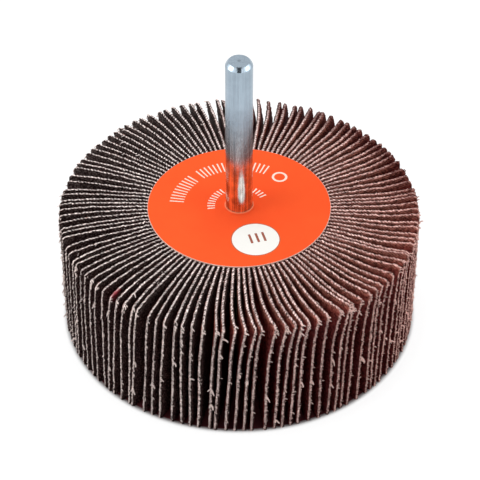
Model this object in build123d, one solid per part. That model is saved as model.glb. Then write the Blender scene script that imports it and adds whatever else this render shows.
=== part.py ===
from build123d import *
import math
import os
import random

# Mounted flap wheel: 120 flaps of abrasive cloth stand on edge round a resin core, which is
# cast on the grooved end of a steel shank and closed above by a paper label.
# The wheel lies flat, with the shank upright on +Z. The origin is the centre of the underside.
# All lengths are in millimetres, all angles in degrees.

# Wheel
wheel_radius = 40.0
wheel_height = 30.0

# Flaps: how many there are, and how they are set in the core
group_count = 24
flaps_per_group = 5
flap_thickness = 0.75
root_film = 0.14  # resin between the inner ends of two flaps
root_depth = 3.0  # how far a flap is set into the core

# Flaps: how the free part stands away from its own radius, counter-clockwise from above
top_lean = 0.6
bottom_lean = -0.8
lean_drift = 0.4  # one side of the wheel leans more than the other
drift_angle = 150.0
corner_curl = 0.9  # the top outer corner bends over further
curl_drift = -0.3
curl_width = 6.0
curl_drop = 7.0
lean_share = 0.3  # how much of the gap between two tips one flap's lean may take up
curl_share = 0.13
flap_seed = 11

# Shank
shank_radius = 3.0
shank_reach = 40.0  # free length above the wheel
shank_depth = 27.0  # length inside the core
tip_bevel_width = 0.75
tip_bevel_height = 1.15
groove_count = 4
groove_width = 2.0
groove_depth = 0.5
groove_land = 3.5

# Label
label_thickness = 0.35
label_overhang = 0.45
label_clearance = 0.1

# Places that follow from the sizes above
flap_count = group_count * flaps_per_group
inner_radius = flap_count * (flap_thickness + root_film) / (2 * math.pi)
core_radius = inner_radius + root_depth
tip_gap = 2 * math.pi * wheel_radius / flap_count - flap_thickness
shank_bottom = wheel_height - shank_depth
groove_top = wheel_height + label_thickness  # so that the free wall starts above the label


def make_shank():
    """Turned rod with a bevelled tip. The ring grooves at its lower end key it into the resin."""
    length = shank_reach + shank_depth
    rod = Pos(0, 0, shank_bottom) * Cylinder(
        shank_radius, length, align=(Align.CENTER, Align.CENTER, Align.MIN)
    )
    end_face = rod.faces().sort_by(Axis.Z)[-1]
    rod = chamfer(end_face.edge(), tip_bevel_width, tip_bevel_height, reference=end_face)
    ring = Circle(shank_radius) - Circle(shank_radius - groove_depth)
    groove = extrude(ring, -groove_width)
    pitch = groove_width + groove_land
    return rod - [Pos(0, 0, groove_top - i * pitch) * groove for i in range(groove_count)]


def make_core(shank):
    """Cast resin round the flap roots, with one slot for each flap and the shank keyed in."""
    slot_length = 2 * root_depth  # reaches past the core's edge, so that the slot is open there
    slot = Rectangle(slot_length, flap_thickness)
    slots = [place * slot for place in PolarLocations(inner_radius + slot_length / 2, flap_count)]
    return extrude(Circle(core_radius) - slots, wheel_height) - shank


def make_label():
    """Paper disc glued over the core and the flap roots, with a hole for the shank."""
    outline = Circle(core_radius + label_overhang) - Circle(shank_radius + label_clearance)
    return Pos(0, 0, wheel_height) * extrude(outline, label_thickness)


def make_flap(top, bottom, curl):
    """One flap along +X: X runs outward, Y across its thickness and Z up.

    top and bottom are how far the outer edge stands off its radius at the two faces of the
    wheel, and curl is how much further the top corner goes. Each panel of the bent cloth is
    flat, so that the creases between them are straight.
    """
    curl_x = wheel_radius - curl_width
    curl_z = wheel_height - curl_drop
    crease_top_lean = top * (curl_x - core_radius) / (wheel_radius - core_radius)
    crease_side_lean = bottom + (top - bottom) * curl_z / wheel_height

    root_low = (inner_radius, 0, 0)
    root_high = (inner_radius, 0, wheel_height)
    edge_low = (core_radius, 0, 0)
    edge_high = (core_radius, 0, wheel_height)
    tip_low = (wheel_radius, bottom, 0)
    crease_side = (wheel_radius, crease_side_lean, curl_z)
    crease_top = (curl_x, crease_top_lean, wheel_height)
    corner = (wheel_radius, top + curl, wheel_height)

    panels = [
        (root_low, edge_low, edge_high, root_high),
        (edge_low, tip_low, edge_high),
        (edge_high, tip_low, crease_side, crease_top),
        (crease_side, corner, crease_top),
    ]
    plates = [
        extrude(make_face(Polyline(*panel, close=True)), amount=flap_thickness, dir=(0, 1, 0))
        for panel in panels
    ]
    return Pos(0, -flap_thickness / 2, 0) * (plates[0] + plates[1:])


def make_flaps():
    """All flaps at their angles. Each leans and curls a little differently from the next."""
    draw = random.Random(flap_seed)
    flaps = []
    for i in range(flap_count):
        angle = i * 360 / flap_count
        drift = math.cos(math.radians(angle - drift_angle))
        stray = draw.uniform(-lean_share, lean_share) * tip_gap
        top = top_lean + lean_drift * drift + stray
        bottom = bottom_lean + lean_drift * drift + stray
        curl = corner_curl + curl_drift * drift + draw.uniform(-curl_share, curl_share) * tip_gap
        flaps.append(Rot(0, 0, angle) * make_flap(top, bottom, curl))
    return flaps


def save(shape, node):
    export_step(shape, os.path.join("parts", node + ".step"))


os.makedirs("parts", exist_ok=True)
shank = make_shank()
save(shank, "shank")
save(make_core(shank), "resin_core")
save(make_label(), "label_disc")
flaps = make_flaps()
for group in range(group_count):
    first = group * flaps_per_group
    members = Compound(children=flaps[first : first + flaps_per_group])
    save(members, f"flap_group_{group + 1:02d}")
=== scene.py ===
import math
import random
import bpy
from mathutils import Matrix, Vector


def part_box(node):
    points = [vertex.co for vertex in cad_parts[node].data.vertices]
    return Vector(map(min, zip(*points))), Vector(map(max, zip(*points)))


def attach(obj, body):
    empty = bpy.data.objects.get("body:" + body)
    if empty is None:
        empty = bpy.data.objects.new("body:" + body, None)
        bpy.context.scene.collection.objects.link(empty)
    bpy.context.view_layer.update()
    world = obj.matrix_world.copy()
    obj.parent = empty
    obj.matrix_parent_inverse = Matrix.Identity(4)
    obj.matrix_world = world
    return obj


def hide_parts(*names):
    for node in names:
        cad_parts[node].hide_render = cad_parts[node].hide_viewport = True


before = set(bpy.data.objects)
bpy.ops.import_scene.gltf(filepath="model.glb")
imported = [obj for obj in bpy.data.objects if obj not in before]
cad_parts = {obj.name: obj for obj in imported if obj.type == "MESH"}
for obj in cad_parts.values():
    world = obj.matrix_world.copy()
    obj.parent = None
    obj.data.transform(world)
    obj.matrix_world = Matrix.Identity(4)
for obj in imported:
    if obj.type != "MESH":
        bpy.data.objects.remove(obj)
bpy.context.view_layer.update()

from types import SimpleNamespace

import bpy
import numpy as np
from mathutils.geometry import delaunay_2d_cdt

# Looks of the mounted flap wheel: frayed flaps of abrasive cloth, an orange paper label with its
# rim turned up round the plated shank, and the cast resin core below.
# Meshes are laid out in millimetres, with angles in degrees, counter-clockwise from above, and
# are scaled to metres when their objects are made. Lamps, floor and camera are placed in metres.

MM = 0.001


def node_top_and_radius(node):
    """Highest Z and outer radius of a round CAD node, in millimetres."""
    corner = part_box(node)[1]
    return corner.z / MM, corner.x / MM


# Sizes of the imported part
wheel_height, core_radius = node_top_and_radius("resin_core")
label_top, label_radius = node_top_and_radius("label_disc")
shank_top, shank_radius = node_top_and_radius("shank")
shank_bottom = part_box("shank")[0].z / MM

# Sizes that no box tells, as in the part's source
wheel_radius = 40.0
root_depth = 3.0
flap_count = 120
group_count = 24
flap_thickness = 0.75
bevel_width, bevel_height = 0.75, 1.15
groove_count, groove_depth, groove_width, groove_pitch = 4, 0.5, 2.0, 5.5

root_radius = core_radius - root_depth
flap_step = 360 / flap_count
tip_gap = math.radians(flap_step) * wheel_radius - flap_thickness

# How the flaps stand away from their radius: the same draws as in the part's source
flap_draw = random.Random(11)
top_lean, bottom_lean, lean_drift, drift_angle = 0.6, -0.8, 0.4, 150.0
corner_curl, curl_drift, curl_width, curl_drop = 0.9, -0.3, 6.0, 7.0
lean_share, curl_share = 0.3, 0.13

# What the solids leave out: tips that gape, a bow along the top edge, corners that stay
# straight where the wheel was gripped, flaps that bunch, and waves in the cloth
gape_angles = (240.0, 280.0, 293.0, 310.0)
gape, gape_reach = 0.4, 2.2  # the reach is a number of flaps
bow_angle, bow_spread, bow = 262.0, 20.0, 0.3
uncurled_angle, uncurled_spread, uncurled_share = 250.0, 17.0, 0.8
curl_range = (0.8, 1.3)
bunching = 0.55
closest_tips, settling_rounds = 0.14, 60
bend_power, curl_power, curl_start = 1.15, 1.7, 0.4
wave_height = 0.05
outward_wave, upward_wave, whole_wave = 2.9, 4.1, 3.2
height_spread, height_ramp = 0.12, 8.0

# Outline of a flap: its corners, the steps between its points, and how far the inner points of
# its sides keep from it
top_corner_radius, bottom_corner_radius = 0.8, 0.25
edge_step = 0.3
top_step = 0.4
hidden_step = 1.6
hidden_by_label = 0.5
panel_step = 1.9
panel_root, panel_bottom, panel_inset = 1.2, 1.0, 0.6

# Cut edges: where the rows of points lie across the cloth, the teeth, how much of them the top
# edge and the two sides share, and how far a row bulges and strays
band_rows = (0.2, 0.45, 0.7)
tooth_height, tooth_range = 0.2, (-0.2, 1.0)
bump_height = 0.05
top_share = 0.9
cloth_side_share, grain_side_share = 0.6, 0.15
edge_bulge, bulge_range = 0.12, (0.3, 1.2)
edge_wander = 0.05

# Stubs of yarn along the cut edges
stub_share, top_stub_share = 0.5, 0.6
stub_length, top_stub_length_share = (0.2, 0.48), 0.6
stub_radius = (0.07, 0.12)
stub_root = 0.1

# Shapes of the label's rim and of the shank's edges
paper_round = 0.06
lip_clearance = 0.04
bevel_bulge, bevel_round = 0.07, 0.2
end_break = 0.1

# Middle of the reddish smear
smear_place = (-26.5, -28.1, 29.4)

# Every draw that shapes the looks
look = np.random.default_rng(7)


def make_piece(name, vertices, faces, material, crease_angle=40.0):
    """A piece of the object on the one body, from millimetre vertices."""
    mesh = bpy.data.meshes.new(name)
    mesh.from_pydata((np.asarray(vertices) * MM).tolist(), [], faces)
    mesh.materials.append(material)
    mesh.shade_smooth()
    mesh.set_sharp_from_angle(angle=math.radians(crease_angle))
    piece = bpy.data.objects.new(name, mesh)
    bpy.context.scene.collection.objects.link(piece)
    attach(piece, "root")
    return piece


def lathe(profile, segments=120, closed=False):
    """Vertices and faces of a profile of (radius, height) points turned about Z."""
    vertices, rings, faces = [], [], []
    for radius, height in profile:
        count = 1 if radius == 0 else segments
        rings.append([len(vertices) + k for k in range(count)])
        for k in range(count):
            angle = 2 * math.pi * k / segments
            vertices.append((radius * math.cos(angle), radius * math.sin(angle), height))
    pairs = list(zip(rings, rings[1:])) + ([(rings[-1], rings[0])] if closed else [])
    for low, high in pairs:
        for k in range(segments):
            a, b = low[k % len(low)], low[(k + 1) % len(low)]
            c, d = high[(k + 1) % len(high)], high[k % len(high)]
            faces.append(list(dict.fromkeys((a, b, c, d))))
    return vertices, faces


def spaced(start, end, step):
    """Evenly spaced values from start up to, but without, end."""
    return np.linspace(start, end, max(1, round(abs(end - start) / step)), endpoint=False)


def flap_outline():
    """Points round a flap, and the direction away from it at each, as rows of (u, z).

    u runs outward from the wheel's axis. The outline starts at the inner bottom corner and goes
    out along the bottom edge.
    """
    points, away = [], []

    def straight(start, end, step, direction):
        for share in spaced(0, 1, step / math.dist(start, end)):
            points.append(np.add(start, np.subtract(end, start) * share))
            away.append(direction)

    def corner(centre, radius, first_angle):
        for angle in np.radians(first_angle + np.array((0, 30, 60, 90))):
            direction = np.array((math.cos(angle), math.sin(angle)))
            points.append(centre + radius * direction)
            away.append(direction)

    low, high = bottom_corner_radius, wheel_height - top_corner_radius
    low_u, high_u = wheel_radius - bottom_corner_radius, wheel_radius - top_corner_radius
    straight((root_radius, 0), (low_u, 0), top_step, (0, -1))
    corner((low_u, low), bottom_corner_radius, -90)
    straight((wheel_radius, low + edge_step), (wheel_radius, high), edge_step, (1, 0))
    corner((high_u, high), top_corner_radius, 0)
    visible_from = label_radius - hidden_by_label
    straight((high_u - top_step, wheel_height), (visible_from, wheel_height), top_step, (0, 1))
    straight((visible_from, wheel_height), (root_radius, wheel_height), hidden_step, (0, 1))
    straight((root_radius, wheel_height), (root_radius, 0), hidden_step, (-1, 0))
    return np.array(points), np.array(away, float)


def flap_panel(outline):
    """Outline and inner points of one side of a flap, and its triangles."""
    inner_u = spaced(root_radius + panel_root, wheel_radius - panel_inset, panel_step)
    inner_z = spaced(panel_bottom, wheel_height - panel_inset, panel_step)
    grid = [(u, z) for u in inner_u for z in inner_z]
    points = [tuple(p) for p in outline] + grid
    loop = [(k, (k + 1) % len(outline)) for k in range(len(outline))]
    _, _, triangles, origin, _, _ = delaunay_2d_cdt(points, loop, [], 1, 1e-6)
    return np.array(points), np.array([[origin[k][0] for k in t] for t in triangles])


outline, outward = flap_outline()
panel_points, panel_triangles = flap_panel(outline)
rim_count = len(outline)


def lean_of_flaps():
    """For each flap: how far its outer edge stands off at the bottom, at the top and, on top of
    that, at the top corner."""
    leans = np.zeros((flap_count, 3))
    for i in range(flap_count):
        angle = i * flap_step
        drift = math.cos(math.radians(angle - drift_angle))
        stray = flap_draw.uniform(-lean_share, lean_share) * tip_gap
        curl_stray = flap_draw.uniform(-curl_share, curl_share) * tip_gap
        curl = corner_curl + curl_drift * drift + curl_stray
        gripped = math.exp(-(((angle - uncurled_angle) / uncurled_spread) ** 2))
        curl *= 1 - uncurled_share * gripped
        side = lean_drift * drift + stray + gaping(i)
        leans[i] = bottom_lean + side, top_lean + side, curl * look.uniform(*curl_range)

    # Neighbours bunch, but none passes through the next
    stray = look.normal(0, bunching, (flap_count, 2))
    leans[:, :2] += stray / 2 + (np.roll(stray, 1, 0) + np.roll(stray, -1, 0)) / 4
    for _ in range(settling_rounds):
        ends = np.column_stack((leans[:, 0], leans[:, 1] + leans[:, 2]))
        spacing = tip_gap + np.roll(ends, -1, 0) - ends
        push = np.clip(closest_tips - spacing, 0, None) / 2
        leans[:, :2] += np.roll(push, 1, 0) - push
    return leans


def gaping(i):
    """How far the gapes push flap i aside at its tip."""
    total = 0.0
    for centre in gape_angles:
        flaps_off = (i * flap_step - centre) / flap_step
        total += math.copysign(gape, flaps_off) * math.exp(-abs(flaps_off) / gape_reach)
    return total


def flap_surface(u, z, i, lean, phases):
    """How far the middle of flap i's cloth stands off its radius, over the points (u, z)."""
    bottom, top, curl = lean
    out = np.clip((u - core_radius) / (wheel_radius - core_radius), 0, None)
    up = z / wheel_height
    angle = i * flap_step
    bend = out**bend_power * (bottom + (top - bottom) * up)
    crease = (u - wheel_radius) / curl_width + (z - wheel_height) / curl_drop + 1
    bend += curl * (np.clip(crease + curl_start, 0, None) / (1 + curl_start)) ** curl_power
    bowed = bow * math.exp(-(((angle - bow_angle) / bow_spread) ** 2))
    bend -= bowed * np.sin(math.pi * np.clip(out, 0, 1)) * up
    waves = np.sin(u / outward_wave + phases[0]) * np.sin(z / upward_wave + phases[1])
    waves += np.sin(z / whole_wave + phases[2])
    return bend + wave_height * waves * out


def rim_profile():
    """How far each point of the rim sticks out, for a new flap.

    The yarns' ends show as teeth all the way up the outer edge and along the top one. The bottom
    edge stays level, and so does the top edge where the label lies on it.
    """
    tooth = np.where(np.arange(rim_count) % 2, look.uniform(*tooth_range, rim_count), 0)
    bump = look.normal(0, bump_height, rim_count)
    outer = np.clip(outward[:, 0], 0, 1)
    top = np.clip(outward[:, 1], 0, 1) * (outline[:, 0] > label_radius + top_step)
    return (outer + top_share * top) * (tooth_height * tooth + bump)


def flap_vertices(i, lean):
    """Vertices of flap i along +X, with (u, z, across) for each. across goes from the cloth's
    side, 0, to the grain's side, 1."""
    phases = look.uniform(0, 2 * math.pi, 3)
    teeth = rim_profile()
    taller = look.normal(0, height_spread)
    grow = np.clip((panel_points[:, 0] - label_radius) / height_ramp, 0, 1)
    rows = []
    for across in (0.0, *band_rows, 1.0):
        is_side = across in (0.0, 1.0)
        points = (panel_points if is_side else outline).copy()
        reach = {0.0: cloth_side_share, 1.0: grain_side_share}.get(across, 1.0)
        bulge = 0.0 if is_side else edge_bulge * look.uniform(*bulge_range, rim_count)
        lift = outward * (teeth * reach + bulge * (teeth != 0))[:, None]
        points[:rim_count] += lift
        points[:, 1] += taller * grow[: len(points)] * (points[:, 1] / wheel_height)
        points[:, 1] = np.maximum(points[:, 1], 0)
        bend = flap_surface(points[:, 0], points[:, 1], i, lean, phases)
        offset = np.full(len(points), (across - 0.5) * flap_thickness)
        offset[:rim_count] += edge_wander * look.normal(0, 1, rim_count) * (teeth != 0)
        place = np.column_stack((points[:, 0], bend + offset, points[:, 1]))
        rows.append((place, np.column_stack((points, np.full(len(points), across)))))
    return np.vstack([p for p, _ in rows]), np.vstack([c for _, c in rows])


def flap_faces():
    """Faces that fit flap_vertices: both sides, and the band of the cut edge between them."""
    side = len(panel_points)
    starts = [0, *(side + k * rim_count for k in range(len(band_rows)))]
    starts.append(side + len(band_rows) * rim_count)
    faces = (panel_triangles[:, ::-1] if panel_turns_left() else panel_triangles).tolist()
    faces = [list(f) for f in faces]
    cloth_side = [f[::-1] for f in faces]
    grain_side = [[k + starts[-1] for k in f] for f in faces]
    band = []
    for first, second in zip(starts, starts[1:]):
        for k in range(rim_count):
            after = (k + 1) % rim_count
            band.append([first + k, first + after, second + after, second + k])
    return cloth_side + grain_side + band


def panel_turns_left():
    """Whether the panel's triangles run counter-clockwise in (u, z), so that they face -Y."""
    a, b, c = (panel_points[k] for k in panel_triangles[0])
    return np.linalg.det(np.array((b - a, c - a))) > 0


def tube(path, radii, sides):
    """A closed tapered tube along a path of points."""
    path = np.asarray(path, float)
    ahead = np.gradient(path, axis=0)
    ahead /= np.linalg.norm(ahead, axis=1)[:, None]
    first = np.cross(ahead, (0.3, 0.2, 0.93))
    first /= np.linalg.norm(first, axis=1)[:, None]
    second = np.cross(ahead, first)
    turn = np.linspace(0, 2 * math.pi, sides, endpoint=False)
    rings = [
        p + r * (np.outer(np.cos(turn), a) + np.outer(np.sin(turn), b))
        for p, r, a, b in zip(path, radii, first, second)
    ]
    faces = [list(range(sides))[::-1], [(len(path) - 1) * sides + k for k in range(sides)]]
    for row in range(len(path) - 1):
        for k in range(sides):
            low, after = row * sides + k, row * sides + (k + 1) % sides
            faces.append([low, after, after + sides, low + sides])
    return np.vstack(rings), faces


def loose_thread(start, length, thickness, sideways):
    """A frayed yarn that stands out from a cut edge, leans to the grain's side and droops."""
    steps = 4 if length > 0.9 else 2
    heading = np.array((look.uniform(0.1, 0.6), sideways, look.uniform(-0.8, 0.2)))
    path = [np.asarray(start, float)]
    for _ in range(steps):
        heading /= np.linalg.norm(heading)
        path.append(path[-1] + heading * length / steps)
        heading = heading + look.normal(0, 0.2, 3) + (0, 0, -0.35)
    radii = thickness / 2 * np.linspace(1.0, 0.5, steps + 1)
    vertices, faces = tube(path, radii, 4)
    vertices[:, 2] = np.maximum(vertices[:, 2], 0)
    return vertices, faces


flap_face_list = flap_faces()

# Where yarn frays, as numbers of the outline's points, and where the edge's middle row starts
faces_out = outward[:, 0] > 0.4
faces_up = outward[:, 1] > 0.9
outer_rim = np.flatnonzero(faces_out & (outline[:, 1] > 2))
top_rim = np.flatnonzero(faces_up & (outline[:, 0] > label_radius + 2))
corner_rim = np.flatnonzero(faces_out & (outline[:, 1] > wheel_height - 1.6))
middle_row = len(panel_points) + rim_count


def yarn_ends(place):
    """Stubs of yarn in a row along the cut edge, which lean over the grain: four-sided, with a
    blunt tip."""
    rim = np.concatenate((outer_rim, top_rim[::2]))
    share = np.where(outward[rim, 0] > 0.4, stub_share, top_stub_share)
    rim = rim[look.random(len(rim)) < share]
    count = len(rim)
    away = np.column_stack((outward[rim, 0], np.zeros(count), outward[rim, 1]))
    along = np.column_stack((-away[:, 2], np.zeros(count), away[:, 0]))
    heading = away * look.uniform(0.4, 1.0, (count, 1)) + along * look.normal(0, 0.25, (count, 1))
    heading[:, 1] = look.uniform(0.2, 1.2, count)
    heading /= np.linalg.norm(heading, axis=1)[:, None]
    length = look.uniform(*stub_length, (count, 1))
    length *= np.where(away[:, 2:] > 0.9, top_stub_length_share, 1.0)
    radius = look.uniform(*stub_radius, (count, 1))
    side = np.cross(heading, along)
    side /= np.linalg.norm(side, axis=1)[:, None]
    other = np.cross(heading, side)
    base = place[middle_row + rim] - stub_root * away
    corners = [side, other, -side, -other]
    rings = [base + radius * c for c in corners]
    rings += [base + 0.65 * length * heading + 0.8 * radius * c for c in corners]
    rings.append(base + length * heading)
    vertices = np.stack(rings, axis=1).reshape(-1, 3)
    faces = []
    for first in range(0, 9 * count, 9):
        faces.append([first + 3, first + 2, first + 1, first])
        for k in range(4):
            after = (k + 1) % 4
            faces.append([first + k, first + after, first + 4 + after, first + 4 + k])
            faces.append([first + 4 + k, first + 4 + after, first + 8])
    return vertices, faces


def threads_of(place):
    """Loose threads of one flap: short ends, a tuft at the corner, and now and then a long one."""
    # Each kind: the rim it grows from, how many, shortest and longest length, thickness
    wanted = [(outer_rim, 4, 0.45, 0.85, 0.28), (top_rim, 2, 0.35, 0.7, 0.24)]
    if look.random() < 0.6:
        wanted.append((corner_rim, 3, 0.5, 1.0, 0.38))
    if look.random() < 0.75:
        wanted.append((outer_rim, look.integers(1, 3), 1.0, 1.8, 0.52))
    if look.random() < 0.25:
        wanted.append((top_rim, 1, 0.8, 1.4, 0.36))
    threads = []
    for rim, count, shortest, longest, thickness in wanted:
        for k in look.choice(rim, count, replace=False):
            inward = -0.12 * np.array((outward[k, 0], 0, outward[k, 1]))
            start = place[middle_row + k] + inward
            sideways = look.uniform(0.1, 1.0)
            length = look.uniform(shortest, longest)
            threads.append(loose_thread(start, length, thickness, sideways))
            if length > 1 and look.random() < 0.5:
                threads.append(loose_thread(start, 0.6 * length, 0.7 * thickness, sideways - 0.6))
    return threads


def make_flap_sets(material):
    """The flaps, five to a piece, as they are grouped in the CAD part."""
    leans = lean_of_flaps()
    per_group = flap_count // group_count
    for group in range(group_count):
        vertices, faces, cloth, tone = [], [], [], []
        total = 0
        for i in range(group * per_group, (group + 1) * per_group):
            place, coordinates = flap_vertices(i, leans[i])
            flap_tone = look.random()
            parts = [(place, flap_face_list, coordinates, flap_tone)]
            for thread, thread_faces in [yarn_ends(place), *threads_of(place)]:
                middle = np.column_stack((thread[:, 0], thread[:, 2], np.full(len(thread), 0.45)))
                parts.append((thread, thread_faces, middle, flap_tone + 1))
            turn = math.radians(i * flap_step)
            turned = np.array((
                (math.cos(turn), math.sin(turn), 0),
                (-math.sin(turn), math.cos(turn), 0),
                (0, 0, 1),
            ))
            for points, part_faces, coordinates, part_tone in parts:
                vertices.append(points @ turned)
                cloth.append(coordinates)
                tone.append(np.full(len(points), part_tone))
                faces.extend([k + total for k in f] for f in part_faces)
                total += len(points)
        piece = make_piece(
            f"flap_set_{group + 1:02d}", np.vstack(vertices), faces, material
        )
        attribute = piece.data.attributes.new("cloth", "FLOAT_VECTOR", "POINT")
        attribute.data.foreach_set("vector", np.vstack(cloth).astype(np.float32).ravel())
        attribute = piece.data.attributes.new("tone", "FLOAT", "POINT")
        attribute.data.foreach_set("value", np.concatenate(tone).astype(np.float32))
        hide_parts(f"flap_group_{group + 1:02d}")


def make_label(material):
    """Paper disc on the core and the flap roots, with its inner rim turned up on the shank."""
    low, high = wheel_height, label_top
    rim, inner_rim = label_radius, label_radius - paper_round
    lip_radius = shank_radius + lip_clearance
    # Round the outer rim, inward over the top, up the lip, and back along the underside
    profile = [
        (inner_rim, low), (rim, low + paper_round), (rim, high - paper_round), (inner_rim, high),
        (15.0, high), (9.0, high), (4.6, high),
        (3.75, high + 0.02), (3.5, high + 0.1), (3.32, high + 0.25), (3.2, high + 0.42),
        (3.1, high + 0.52), (lip_radius, high + 0.5), (lip_radius, high + 0.3),
        (lip_radius + paper_round, low), (9.0, low),
    ]
    vertices, faces = lathe(profile, closed=True)
    piece = make_piece("paper_label", vertices, faces, material)
    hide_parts("label_disc")


def round_corner(before, corner, after, reach):
    """Points of a curve that cuts a profile's corner, from reach before it to reach after it."""
    start = corner + (before - corner) * min(1, reach / math.dist(before, corner))
    end = corner + (after - corner) * min(1, reach / math.dist(after, corner))
    return [
        tuple((1 - t) ** 2 * start + 2 * t * (1 - t) * corner + t**2 * end)
        for t in (0, 0.25, 0.5, 0.75, 1)
    ]


def make_shank(material):
    """Plated rod with a rounded bevel at the tip. Ring grooves key its lower end in the resin."""
    profile = [(0, shank_bottom), (shank_radius - end_break, shank_bottom)]
    profile.append((shank_radius, shank_bottom + end_break))
    inner = shank_radius - groove_depth
    for k in reversed(range(groove_count)):
        top = label_top - k * groove_pitch
        low = top - groove_width
        profile += [(shank_radius, low), (inner, low), (inner, top), (shank_radius, top)]
    profile += [(shank_radius, z) for z in spaced(label_top + 1, shank_top - 2, 6)]
    low_corner = np.array((shank_radius, shank_top - bevel_height))
    high_corner = np.array((shank_radius - bevel_width, shank_top))
    middle = (low_corner + high_corner) / 2 + bevel_bulge * np.array((bevel_height, bevel_width))
    below = np.array((shank_radius, low_corner[1] - bevel_round))
    inside = np.array((high_corner[0] - bevel_round, shank_top))
    profile += round_corner(below, low_corner, middle, bevel_round)
    profile.append(tuple(middle))
    profile += round_corner(middle, high_corner, inside, bevel_round)
    profile += [(1.2, shank_top), (0, shank_top)]
    vertices, faces = lathe(profile)
    piece = make_piece("steel_shank", vertices, faces, material)
    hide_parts("shank")


def linear(red, green, blue):
    """Linear colour with alpha of an sRGB colour given from 0 to 255."""
    shares = [c / 255 for c in (red, green, blue)]
    return (*(c / 12.92 if c <= 0.04045 else ((c + 0.055) / 1.055) ** 2.4 for c in shares), 1)


class Nodes:
    """A node tree, with short ways to add nodes to it."""

    def __init__(self, tree):
        self.tree = tree

    def feed(self, socket, value):
        if isinstance(value, bpy.types.NodeSocket):
            self.tree.links.new(value, socket)
        else:
            socket.default_value = value

    def add(self, kind, inputs=None, output=0, **settings):
        """A new node's output socket."""
        new = self.tree.nodes.new("ShaderNode" + kind)
        for name, value in settings.items():
            setattr(new, name, value)
        for key, value in (inputs or {}).items():
            self.feed(new.inputs[key], value)
        return new.outputs[output]

    def calc(self, operation, *values):
        return self.add("Math", dict(enumerate(values)), operation=operation)

    def split(self, vector):
        """The X, Y and Z of a vector."""
        return self.add("SeparateXYZ", {0: vector}).node.outputs

    def length(self, x, y):
        return self.calc("SQRT", self.calc("MULTIPLY_ADD", x, x, self.calc("MULTIPLY", y, y)))

    def noise(self, vector, scale, detail=3.0, roughness=0.6):
        inputs = {"Vector": vector, "Scale": scale, "Detail": detail, "Roughness": roughness}
        return self.add("TexNoise", inputs)

    def spread(self, value, low, high, to_low=0.0, to_high=1.0):
        """Maps low..high to to_low..to_high, and holds it there."""
        return self.add("MapRange", dict(enumerate((value, low, high, to_low, to_high))))

    def mix(self, share, first, second, blend="MIX"):
        inputs = {0: share, 6: first, 7: second}
        return self.add("Mix", inputs, output=2, data_type="RGBA", blend_type=blend)

    def grey(self, value):
        return self.add("CombineColor", {channel: value for channel in range(3)})

    def shade(self, colour, by):
        """A colour multiplied by another."""
        return self.mix(1.0, colour, by, "MULTIPLY")

    def ramp(self, value, stops):
        """Colours along value, from (place, colour) stops."""
        socket = self.add("ValToRGB", {0: value})
        elements = socket.node.color_ramp.elements
        for k, (place, colour) in enumerate(stops):
            element = elements[k] if k < 2 else elements.new(place)
            element.position = place
            element.color = colour
        return socket


class Shader(Nodes):
    """The node tree of a new material."""

    def __init__(self, name):
        self.material = bpy.data.materials.new(name)
        self.material.use_nodes = True
        super().__init__(self.material.node_tree)
        self.surface = self.tree.nodes["Principled BSDF"]

    def set(self, **values):
        """Sets or links the surface's inputs. Their names have _ for a space here."""
        for name, value in values.items():
            self.feed(self.surface.inputs[name.replace("_", " ")], value)

    def millimetres(self):
        """The object's own coordinates, in millimetres."""
        place = self.add("TexCoord", output=3)
        return self.add("VectorMath", {0: place, 3: 1 / MM}, operation="SCALE")

    def bump(self, height, distance_mm, strength):
        inputs = {"Height": height, "Distance": distance_mm * MM, "Strength": strength}
        return self.add("Bump", inputs)


def cloth_places(s):
    """What the cloth's colours depend on.

    u, z and across are the place on the flap: outward, upward, and from the cloth's side, 0, to
    the grain's, 1. wheel is the place on the whole wheel, with x and y. painted_right_light grows
    to the right, where painted light makes the cut edges pinker. Each flap has its own tone, and
    its own place in the textures, where.
    """
    place = s.add("Attribute", output=1, attribute_name="cloth")
    tone = s.add("Attribute", output=2, attribute_name="tone")
    u, z, across = s.split(place)
    shift = s.add("CombineXYZ", {0: s.calc("MULTIPLY", tone, 91.0), 1: 0.0, 2: 0.0})
    where = s.add("VectorMath", {0: place, 1: shift}, operation="ADD")
    wheel = s.millimetres()
    x, y, _ = s.split(wheel)
    to_top = s.calc("SUBTRACT", wheel_height, z)
    inner = s.spread(u, 32.0, 37.0, 0.8, 0.0)
    specks = s.add("TexVoronoi", {"Vector": where, "Scale": 2.4}, output=1)
    yarns = s.calc("MULTIPLY_ADD", u, 2 * math.pi / 0.8, s.calc("MULTIPLY", tone, 40.0))
    yarns = s.calc("MULTIPLY_ADD", z, 2 * math.pi / 0.55, yarns)
    return SimpleNamespace(
        u=u, z=z, across=across, tone=tone, where=where, wheel=wheel, x=x, y=y,
        to_top=to_top,
        to_side=s.calc("SUBTRACT", wheel_radius, u),
        # Painted light: a red glow far down in the gaps, inward and below the flaps' tops
        painted_gap_light=s.calc("MULTIPLY", inner, s.spread(to_top, 2.0, 6.0)),
        # Painted light: grows towards the right of the wheel
        painted_right_light=s.spread(x, -12.0, 40.0),
        grit=s.noise(where, 3.4, 2.0, 0.75),
        specks=s.add("SeparateColor", {0: specks}),
        yarns=s.calc("SINE", s.calc("MULTIPLY_ADD", across, 5.0, yarns)),
    )


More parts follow.
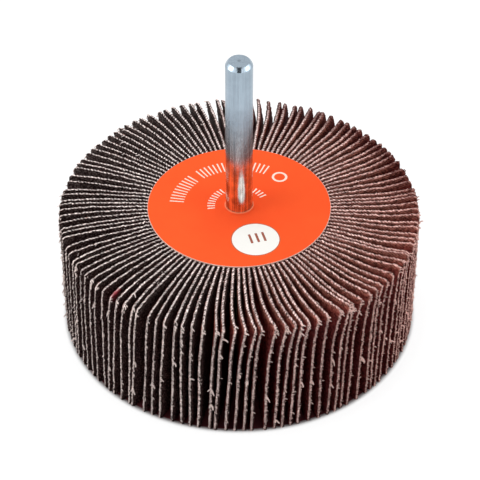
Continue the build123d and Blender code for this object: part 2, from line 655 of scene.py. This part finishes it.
def cut_edge_colour(s, at):
    """Cut yarns: pale in the middle and dark towards the grain. Painted light makes them pinker on
    the right of the wheel, with less contrast between the yarns.
    """
    wander = s.calc("SUBTRACT", s.noise(at.where, 2.6, 3.0), 0.5)
    wander = s.calc("MULTIPLY", wander, s.calc("MULTIPLY_ADD", at.painted_right_light, 0.25, 0.37))
    on_wall = s.spread(at.u, 38.8, 39.6)
    thinner = s.calc("MULTIPLY", on_wall, s.calc("MULTIPLY_ADD", at.painted_right_light, 0.1, 0.05))
    along = s.calc("ADD", thinner, s.calc("ADD", at.across, wander))
    pale = s.ramp(along, [
        (0.0, linear(98, 50, 44)),
        (0.09, linear(152, 116, 108)),
        (0.19, linear(214, 201, 195)),
        (0.58, linear(211, 200, 194)),
        (0.68, linear(120, 102, 97)),
        (0.77, linear(48, 33, 31)),
        (1.0, linear(36, 23, 21)),
    ])
    reddish = s.ramp(along, [
        (0.0, linear(146, 92, 87)),
        (0.11, linear(190, 148, 140)),
        (0.26, linear(219, 194, 186)),
        (0.63, linear(215, 190, 182)),
        (0.75, linear(128, 90, 85)),
        (0.85, linear(46, 23, 21)),
        (1.0, linear(30, 13, 11)),
    ])

    # How clean each spot is: patches, specks, the twist of the yarns, and the flap's own share
    clean = s.spread(s.noise(at.where, 0.9, 3.0), 0.35, 0.65, 0.18, 0.5)
    clean = s.calc("MULTIPLY_ADD", at.specks, 0.93, clean)
    twist = s.calc("MULTIPLY_ADD", at.painted_right_light, -0.32, 0.54)
    twist = s.calc("MULTIPLY", twist, s.calc("MULTIPLY_ADD", on_wall, -0.35, 1.0))
    clean = s.calc("MULTIPLY_ADD", at.yarns, twist, clean)
    is_yarn = s.calc("GREATER_THAN", at.tone, 1.0)
    clean = s.calc("MAXIMUM", clean, s.calc("MULTIPLY", is_yarn, 1.2))
    own = s.calc("MULTIPLY_ADD", s.calc("FRACT", at.tone), 0.2, 0.9)
    clean = s.calc("MULTIPLY", clean, own)
    clean = s.calc("MULTIPLY", clean, s.calc("MULTIPLY_ADD", on_wall, 0.08, 1.0))

    # Painted light: a pink tint on the right of the wheel; the palest flecks turn whiter
    right_light_tint = s.mix(at.painted_right_light, (1.0, 1.0, 1.03, 1), (1.0, 0.68, 0.65, 1))
    right_light_tint = s.mix(s.spread(clean, 0.75, 1.35, 0.0, 0.5), right_light_tint, (1.0, 1.0, 1.0, 1))
    edge = s.shade(s.shade(s.mix(at.painted_right_light, pale, reddish), s.grey(clean)), right_light_tint)
    return s.mix(on_wall, edge, (1.0, 0.965, 0.955, 1), "MULTIPLY")


def twill(s, at):
    """Relief of the woven side."""
    ribs = s.calc("MULTIPLY_ADD", at.u, 9.0, s.calc("MULTIPLY", at.z, 12.0))
    weft = s.calc("SINE", s.calc("MULTIPLY", at.z, 2 * math.pi / 0.5))
    return s.calc("MULTIPLY_ADD", weft, 0.2, s.calc("MULTIPLY", s.calc("SINE", ribs), 0.35))


def cloth_side_colour(s, at, weave):
    """Maroon twill with pale frayed fibres along its edges. Painted light makes it paler at the
    outer corner and along the outer side; the pale band under the top edge is partly wear and soil
    and partly painted light.
    """
    cloth = s.mix(s.noise(at.where, 0.35, 3.0), linear(60, 9, 9), linear(86, 17, 16))
    cloth = s.mix(s.spread(weave, -0.3, 0.9), cloth, linear(110, 39, 36))
    # Painted light on the curled outer corner, stronger towards the front
    to_corner = s.length(at.to_side, at.to_top)
    painted_corner_light = s.calc("MULTIPLY", s.spread(to_corner, 0.5, 9.0, 0.55, 0.0),
                  s.spread(at.y, -20.0, 0.0, 1.0, 0.2))
    cloth = s.mix(painted_corner_light, cloth, linear(136, 62, 56))
    # Painted light along the outer side of each flap, stronger towards the front
    nearer = s.spread(at.y, -36.0, -12.0, 0.65, 0.15)
    side = s.calc("MULTIPLY", nearer, s.spread(at.to_side, 0.0, 2.2, 1.0, 0.0))
    cloth = s.mix(side, cloth, linear(130, 60, 60))
    # A pale band under the top edge: partly wear and soil, partly painted light that fades into
    # shade further down
    band = s.mix(s.spread(at.u, 27.0, 38.0), linear(180, 110, 94), linear(152, 74, 63))
    cloth = s.mix(s.spread(at.to_top, 0.0, 2.4, 0.9, 0.0), cloth, band)
    to_edge = s.calc("MINIMUM", s.calc("MULTIPLY", at.to_side, 2.2), at.to_top)
    fibres = s.noise(at.where, 3.0, 3.0, 0.7)
    frayed = s.calc("MULTIPLY_ADD", fibres, -1.8, s.calc("ADD", to_edge, 0.9))
    fray = s.mix(s.spread(at.to_top, 0.6, 2.4), linear(178, 116, 101), linear(106, 48, 44))
    cloth = s.mix(s.spread(frayed, -0.2, 0.9, 0.85, 0.0), cloth, fray)
    # Painted light: a lighter red far down in the gaps between the flaps
    cloth = s.mix(at.painted_gap_light, cloth, linear(150, 36, 36))
    rough = s.calc("MULTIPLY", at.yarns, s.spread(at.to_top, 0.3, 2.0, 0.3, 0.0))
    rough = s.calc("ADD", rough, s.spread(at.specks, 0.0, 1.0, 0.45, 1.6))
    return s.shade(cloth, s.grey(rough))


def grain_side_colour(s, at):
    """Dark grit with pale grains in it, redder below the top edge, and with a painted red light
    far down in the gaps between the flaps.
    """
    # The grain is a little paler towards the back of the wheel
    grit_paler_to_back = s.calc("ADD", at.grit, s.spread(at.y, 0.0, 24.0, 0.0, 0.06))
    grain = s.ramp(grit_paler_to_back, [
        (0.32, linear(20, 8, 9)), (0.52, linear(40, 23, 23)), (0.65, linear(130, 118, 114)),
    ])
    grain = s.mix(s.spread(at.to_top, 1.0, 4.0), grain, (1.0, 0.74, 0.74, 1), "MULTIPLY")
    return s.mix(at.painted_gap_light, grain, linear(96, 40, 40))


def cloth_material():
    """Abrasive cloth: maroon twill on one side, dark grain on the other, frayed cotton between."""
    s = Shader("abrasive_cloth")
    at = cloth_places(s)
    on_grain = s.calc("GREATER_THAN", at.across, 0.999)
    on_cloth = s.calc("LESS_THAN", at.across, 0.001)
    weave = twill(s, at)
    colour = s.mix(on_grain, cut_edge_colour(s, at), grain_side_colour(s, at))
    colour = s.mix(on_cloth, colour, cloth_side_colour(s, at, weave))

    # Painted shade: the tips at the back right are dark
    far = s.calc("MULTIPLY", s.spread(at.y, -8.0, 14.0), s.spread(at.x, -5.0, 12.0))
    far = s.calc("MULTIPLY", far, s.spread(at.u, 33.0, 38.4, 0.0, 0.95))
    far = s.calc("MULTIPLY", far, s.spread(at.specks, 0.0, 1.0, 1.0, 0.6))
    colour = s.mix(far, colour, linear(62, 11, 11))

    # A reddish smear on one corner
    smear = s.add("VectorMath", {0: at.wheel, 1: smear_place}, output=1, operation="DISTANCE")
    smear = s.spread(s.calc("MULTIPLY_ADD", at.grit, 1.6, smear), 1.5, 2.7, 0.8, 0.0)
    smeared = s.mix(on_grain, linear(170, 62, 74), linear(112, 34, 42))
    colour = s.mix(smear, colour, smeared)

    height = s.calc("MULTIPLY", weave, on_cloth)
    height = s.calc("MULTIPLY_ADD", at.grit, s.calc("MULTIPLY_ADD", on_grain, 1.2, 0.5), height)
    s.set(
        Base_Color=colour,
        Roughness=s.spread(at.grit, 0.3, 0.7, 0.95, 0.7),
        Specular_IOR_Level=s.calc("MULTIPLY_ADD", on_grain, 0.1, 0.05),
        Normal=s.bump(height, 0.12, 0.8),
    )
    return s.material


# Print on the label, all plain: a white spot with three brown strokes, a ring, and rows of white
# strokes. The ring's angle is from +X. Those of the rows are from +Y, so that no row crosses the
# seam at -Y.
spot_place, spot_radius = (3.6, -11.45), 5.2
# Painted shadow: a thin darker ring round the spot
spot_shadow_radius, spot_shadow_width = 5.3, 0.24
stroke_tilt, stroke_pitch, stroke_width = 15.0, 1.5, 0.54
strokes_middle, strokes_width, strokes_height = (0.4, 0.45), 4.2, 3.0
ring_angle, ring_distance, ring_radius, ring_width = 47.6, 13.6, 1.5, 0.52
# Inner and outer radius, first and last angle, count, and the stroke's share of its pitch
stroke_rows = [
    (12.4, 15.6, -28.0, -12.0, 4, 0.32),
    (12.4, 15.6, 13.0, 41.0, 7, 0.32),
    (12.4, 15.6, 46.5, 86.0, 10, 0.32),
    (5.4, 7.1, -62.0, -30.0, 4, 0.4),
    (5.4, 7.1, 34.0, 102.0, 9, 0.4),
]


def ticks(s, radius, angle, low, high, first, last, count, share):
    """Mask of short radial strokes, evenly spaced from angle first to last, between two radii."""
    along = s.spread(angle, first, last, 0.0, float(count))
    off = s.calc("ABSOLUTE", s.calc("SUBTRACT", s.calc("FRACT", along), 0.5))
    stroke = s.calc("LESS_THAN", off, share / 2)
    inside = s.calc("COMPARE", radius, (low + high) / 2, (high - low) / 2)
    within = s.calc("COMPARE", angle, (first + last) / 2, (last - first) / 2)
    return s.calc("MULTIPLY", s.calc("MULTIPLY", stroke, inside), within)


def strokes_in_spot(s, dx, dy):
    """Mask of three short strokes side by side, tilted, at (dx, dy) from the spot's middle."""
    cosine, sine = math.cos(math.radians(stroke_tilt)), math.sin(math.radians(stroke_tilt))
    right = s.calc("MULTIPLY_ADD", dx, cosine, s.calc("MULTIPLY", dy, sine))
    up = s.calc("MULTIPLY_ADD", dy, cosine, s.calc("MULTIPLY", dx, -sine))
    near = s.calc("PINGPONG", s.calc("ADD", right, 10.0), stroke_pitch / 2)
    stroke = s.calc("LESS_THAN", near, stroke_width / 2)
    middle_right, middle_up = strokes_middle
    beside = s.calc("COMPARE", right, middle_right, strokes_width / 2)
    within = s.calc("COMPARE", up, middle_up, strokes_height / 2)
    return s.calc("MULTIPLY", s.calc("MULTIPLY", stroke, beside), within)


def label_material():
    """Smooth orange paper with its print and a pale rim. Its sheen is painted: paler orange on the
    left, and a painted highlight on the lip at the shank.
    """
    s = Shader("printed_paper")
    place = s.millimetres()
    x, y, z = s.split(place)
    radius = s.length(x, y)
    angle = s.calc("DEGREES", s.calc("ARCTAN2", s.calc("MULTIPLY", x, -1.0), y))

    turn = math.radians(ring_angle)
    ring_dx = s.calc("SUBTRACT", x, ring_distance * math.cos(turn))
    ring_dy = s.calc("SUBTRACT", y, ring_distance * math.sin(turn))
    white = s.calc("COMPARE", s.length(ring_dx, ring_dy), ring_radius, ring_width / 2)
    for row in stroke_rows:
        white = s.calc("MAXIMUM", white, ticks(s, radius, angle, *row))
    dx, dy = (s.calc("SUBTRACT", c, middle) for c, middle in zip((x, y), spot_place))
    to_spot = s.length(dx, dy)
    in_spot = s.calc("LESS_THAN", to_spot, spot_radius)
    white = s.calc("MAXIMUM", white, in_spot)

    # Orange with faint blotches, paler away from the shank, and paler on the left: a painted sheen
    paler = s.spread(x, -18.0, 18.0, 0.45, 0.2)
    paler = s.calc("SUBTRACT", paler, s.spread(radius, 5.0, 15.0, 0.3, 0.0))
    mottle = s.calc("MULTIPLY_ADD", s.noise(place, 0.18, 3.0), 0.5, paler)
    orange = s.mix(mottle, (0.92, 0.082, 0.023, 1), (0.96, 0.125, 0.031, 1))
    colour = s.mix(white, orange, s.mix(in_spot, linear(250, 221, 205), linear(242, 240, 235)))
    colour = s.mix(strokes_in_spot(s, dx, dy), colour, linear(160, 96, 80))
    # Painted shadow round the spot's edge
    spot_shadow = s.calc("COMPARE", to_spot, spot_shadow_radius, spot_shadow_width / 2)
    colour = s.mix(s.calc("MULTIPLY", spot_shadow, 0.8), colour, linear(176, 106, 78))
    # Painted highlight on the lip round the shank
    lip = s.spread(z, label_top + 0.25, label_top + 0.45, 0.0, 0.5)
    colour = s.mix(lip, colour, linear(255, 176, 136))
    paper_edge = s.calc("GREATER_THAN", radius, label_radius - 0.09)
    colour = s.mix(paper_edge, colour, linear(236, 200, 186))
    fibres = s.noise(place, 1.4, 4.0)
    # No mirror sheen: in flat views it would turn the whole label white. The sheen is painted into
    # the orange instead.
    s.set(
        Base_Color=colour,
        Roughness=s.spread(fibres, 0.3, 0.7, 0.2, 0.28),
        Specular_IOR_Level=0.0,
        Normal=s.bump(fibres, 0.02, 0.5),
    )
    return s.material


def steel_material():
    """Bluish plated steel with fine marks along the rod."""
    s = Shader("plated_steel")
    place = s.millimetres()
    x, y, z = s.split(place)
    stretched = s.add("VectorMath", {0: place, 1: (3.6, 3.6, 0.05)}, operation="MULTIPLY")
    streaks = s.noise(stretched, 1.0, 3.0, 0.6)
    bands = s.noise(stretched, 0.35, 2.0)
    blotches = s.noise(place, 0.5, 4.0)
    marks = s.calc("MULTIPLY_ADD", bands, 0.35, s.calc("MULTIPLY", streaks, 0.45))
    marks = s.spread(s.calc("MULTIPLY_ADD", blotches, 0.32, marks), 0.47, 0.65)
    # Higher up the rod is bluer and darker: partly the plating's own blue, partly a painted
    # reflection
    blue_plating_and_reflection = s.spread(z, label_top + 9, label_top + 25)
    plain = s.mix(marks, (0.30, 0.28, 0.28, 1), (0.94, 0.93, 0.92, 1))
    blue_grey_with_reflection = s.mix(marks, (0.375, 0.46, 0.54, 1), (0.445, 0.54, 0.63, 1))
    # Painted shade: darker towards the tip
    painted_tip_shade = s.spread(z, shank_top - 14, shank_top - 3, 1.0, 0.84)
    colour = s.shade(s.mix(blue_plating_and_reflection, plain, blue_grey_with_reflection), s.grey(painted_tip_shade))
    # Ground end, with the dot of its centre
    dot = s.grey(s.spread(s.length(x, y), 0.25, 0.5, 0.68, 1.0))
    end = s.mix(s.calc("GREATER_THAN", z, shank_top - 0.03), (1, 1, 1, 1), dot)
    s.set(
        Base_Color=s.shade(colour, end),
        Metallic=1.0,
        Roughness=s.spread(marks, 0.0, 1.0, 0.22, 0.15),
        Normal=s.bump(streaks, 0.03, 0.6),
    )
    return s.material


def resin_material():
    """Cast brown resin, a little cloudy, with pits from its casting."""
    s = Shader("cast_resin")
    place = s.millimetres()
    cloud = s.noise(place, 0.25, 4.0)
    pits = s.add("TexVoronoi", {"Vector": place, "Scale": 0.9})
    fine = s.noise(place, 2.5, 3.0)
    height = s.calc("ADD", s.spread(pits, 0.0, 0.35), s.calc("MULTIPLY", fine, 0.4))
    s.set(
        Base_Color=s.mix(cloud, linear(92, 62, 40), linear(140, 102, 68)),
        Roughness=s.spread(fine, 0.3, 0.7, 0.38, 0.55),
        Normal=s.bump(height, 0.15, 0.6),
    )
    return s.material


# Studio: the world's light, the panels that the bevel mirrors, and the floor's half width
ambient_light = 0.31
panel_start, panel_brightness = 0.3, 0.8
floor_reach = 3.0


def floor_material():
    """White floor. Around the wheel it glows up to white for the camera and in reflections, and
    keeps a faint shadow. Under the wheel, where it shows between the flaps, it is painted dark
    red: painted shade."""
    s = Shader("studio_floor")
    rays = s.add("LightPath").node.outputs
    x, y, _ = s.split(s.millimetres())
    radius = s.length(x, y)
    seen = s.calc("MAXIMUM", rays["Is Camera Ray"], rays["Is Glossy Ray"])
    seen = s.calc("MULTIPLY", seen, s.spread(radius, wheel_radius + 0.1, wheel_radius + 0.9))
    # Painted shade: dark red under the wheel, clear of it beside the wheel
    beside = s.spread(radius, wheel_radius - 0.6, wheel_radius + 0.2)
    lit = s.mix(beside, (0.12, 0.03, 0.034, 1), (0.8, 0.8, 0.8, 1))
    s.set(
        Base_Color=s.mix(seen, lit, (0.24, 0.24, 0.24, 1)),
        Roughness=0.9,
        Specular_IOR_Level=0.0,
        Emission_Color=(1, 1, 1, 1),
        Emission_Strength=s.calc("MULTIPLY", seen, s.spread(radius, 90.0, 500.0, 0.84, 1.0)),
    )
    return s.material


def make_floor():
    """A floor as far as the eye sees, in the white of the world behind it."""
    signs = ((-1, -1), (1, -1), (1, 1), (-1, 1))
    corners = [(x * floor_reach, y * floor_reach, 0) for x, y in signs]
    mesh = bpy.data.meshes.new("floor")
    mesh.from_pydata(corners, [], [(0, 1, 2, 3)])
    mesh.materials.append(floor_material())
    floor = bpy.data.objects.new("floor", mesh)
    bpy.context.scene.collection.objects.link(floor)


def make_world():
    """White where it is seen, itself or in reflections, and softer as a light."""
    world = bpy.data.worlds.new("studio")
    bpy.context.scene.world = world
    world.use_nodes = True
    s = Nodes(world.node_tree)
    rays = s.add("LightPath").node.outputs
    seen = s.calc("MAXIMUM", rays["Is Camera Ray"], rays["Is Glossy Ray"])
    strength = s.spread(seen, 0.0, 1.0, ambient_light)

    # What the shank's bevel shows: bright panels low on either side of a dark one in front
    x, y, z = s.split(s.add("TexCoord"))
    aside = s.calc("ABSOLUTE", x)
    low = s.calc("COMPARE", z, 0.3, 0.36)
    panel = s.calc("MULTIPLY", s.calc("LESS_THAN", y, 0.4), low)
    panel = s.calc("MULTIPLY", panel, s.calc("GREATER_THAN", aside, panel_start))
    split = s.calc("COMPARE", aside, 0.52, 0.03)
    panel = s.calc("MULTIPLY", panel, s.calc("SUBTRACT", 1.0, split))
    panel = s.calc("MULTIPLY", panel, rays["Is Glossy Ray"])
    in_front = s.calc("LESS_THAN", y, -0.3)
    dark = s.calc("MULTIPLY", s.calc("LESS_THAN", aside, panel_start), in_front)
    shown = s.calc("MULTIPLY_ADD", dark, -0.88, 1.0)
    shown = s.calc("MULTIPLY_ADD", panel, panel_brightness, shown)
    background = s.tree.nodes["Background"]
    s.feed(background.inputs["Color"], (1, 1, 1, 1))
    s.feed(background.inputs["Strength"], s.calc("MULTIPLY", strength, shown))


def make_softbox(name, place, size, watts):
    """A square lamp that faces the middle of the wheel."""
    lamp = bpy.data.lights.new(name, "AREA")
    lamp.size = size
    lamp.energy = watts
    softbox = bpy.data.objects.new(name, lamp)
    softbox.location = place
    target = np.array((0, 0, wheel_height * MM))
    direction = target - np.array(place)
    softbox.rotation_euler = (
        math.acos(-direction[2] / np.linalg.norm(direction)),
        0,
        math.atan2(direction[1], direction[0]) - math.pi / 2,
    )
    bpy.context.scene.collection.objects.link(softbox)
    return softbox


def make_camera():
    """The photograph's view: square on to the wheel, from the front and above."""
    looks_down = 41.21
    camera = bpy.data.cameras.new("camera")
    camera.lens = 142.6
    camera.sensor_width = 36.0
    camera.clip_start = 0.01
    viewer = bpy.data.objects.new("camera", camera)
    viewer.location = (0.00019, -0.32391, 0.30379)
    viewer.rotation_euler = (math.radians(90 - looks_down), 0, 0)
    bpy.context.scene.collection.objects.link(viewer)
    bpy.context.scene.camera = viewer


make_flap_sets(cloth_material())
make_label(label_material())
make_shank(steel_material())

resin = resin_material()
for material_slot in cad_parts["resin_core"].material_slots:
    material_slot.material = resin

make_floor()
make_world()
make_softbox("softbox_top", (0.0, 0.05, 0.65), 0.4, 2.85).visible_glossy = False
make_softbox("softbox_left", (-0.5, -0.13, 0.25), 0.4, 1.3)
make_softbox("softbox_right", (0.5, -0.13, 0.25), 0.4, 0.64)
make_camera()
bpy.context.scene.view_settings.view_transform = "Standard"
